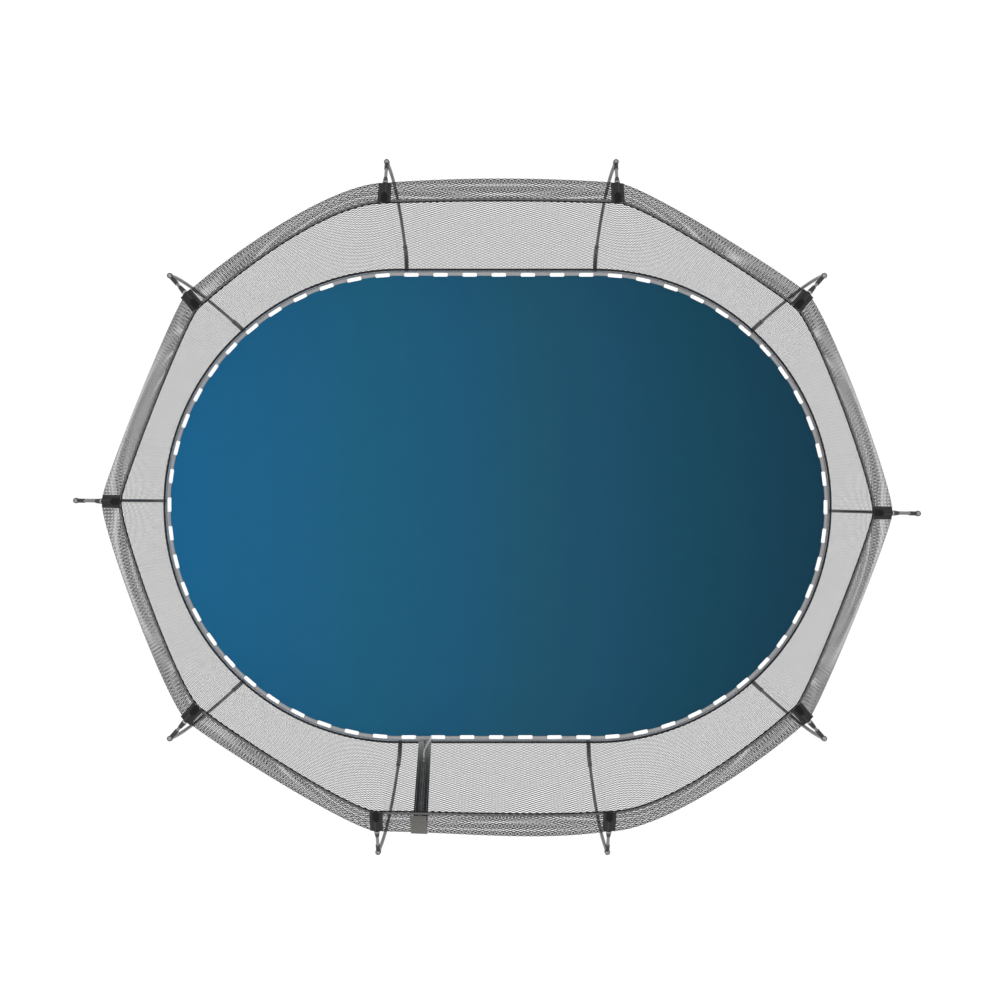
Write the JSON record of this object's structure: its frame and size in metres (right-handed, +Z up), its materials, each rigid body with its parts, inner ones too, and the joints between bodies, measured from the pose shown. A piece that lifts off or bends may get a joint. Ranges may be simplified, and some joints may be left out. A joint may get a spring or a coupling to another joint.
{
  "type": "trampoline",
  "caption": "Springless oval trampoline with a low steel ring on legs, leaning composite rods, a cleat-edged mat, a net enclosure on bowed outer poles and a zip door.",
  "frame": {"origin": "on the ground under the centre of the mat, at the bottom centre of the bounding box", "axes": "+Z up, +X along the mat's long axis, -Y towards the side with the zip door"},
  "size_m": [3.7702, 3.0872, 2.6204],
  "materials": {
    "mat_weave": "matte",
    "webbing_grey": "matte",
    "hem_black": "matte",
    "net_black": "matte",
    "zip_black": "matte",
    "cord_grey": "matte",
    "patch_grey": "matte",
    "cleat_white": "satin",
    "rod_black": "satin",
    "tip_black": "matte",
    "ring_light": "satin",
    "frame_black": "satin",
    "pole_grey": "satin",
    "rod_grey": "satin",
    "bolt_steel": "satin",
    "pad_rubber": "matte",
    "slider_metal": "satin"
  },
  "bodies": {
    "root": {"side_rails": "frame_black", "corner_rails": "frame_black", "end_rails": "frame_black", "mat_rods": "rod_black", "ring_clamps": "frame_black", "base_tees": "frame_black", "leg_uprights": "frame_black", "side_base_tubes": "frame_black", "end_base_tubes": "frame_black", "foot_pads": "pad_rubber", "pole_brackets": "frame_black", "pole_lower_tubes": "pole_grey", "net_poles": "rod_grey", "pole_ferrules": "tip_black", "pole_upper_rods": "rod_grey", "bracket_bolts": "bolt_steel", "pole_tips": "tip_black", "pole_tip_rings": "ring_light", "pole_pockets": "hem_black", "net_top_hem": "hem_black", "net_top_piping": "hem_black", "zip_tape_left": "zip_black", "zip_tape_right": "zip_black", "zip_coil": "tip_black", "zip_sill": "zip_black", "zip_top_stop": "slider_metal", "door_patch": "patch_grey", "net_back": "net_black", "net_right_back": "net_black", "net_right_end_back": "net_black", "net_right_end_front": "net_black", "net_right_front": "net_black", "net_front_wide": "net_black", "net_front_narrow": "net_black", "net_left_front": "net_black", "net_left_end_front": "net_black", "net_left_end_back": "net_black", "net_left_back": "net_black"},
    "mat": {"jumping_mat": "mat_weave", "mat_edge_webbing": "webbing_grey", "net_foot_hem": "hem_black", "rod_cleats": "cleat_white", "rod_tips": "tip_black"},
    "zip": {"zip_slider": "slider_metal", "zip_pull_tab": "slider_metal", "zip_pull_cord": "cord_grey"}
  },
  "joints": [
    {"name": "mat_bounce", "type": "slide", "parent": "root", "child": "mat", "axis": [0, 0, 1], "range_m": [-0.08, 0], "stiffness_N_per_m": 6000, "springref_m": 0.04, "deforming": ["mat_rods"]},
    {"name": "zip_slide", "type": "slide", "parent": "root", "child": "zip", "axis": [0.0236, -0.1221, 0.9922], "range_m": [0, 1.04]}
  ]
}
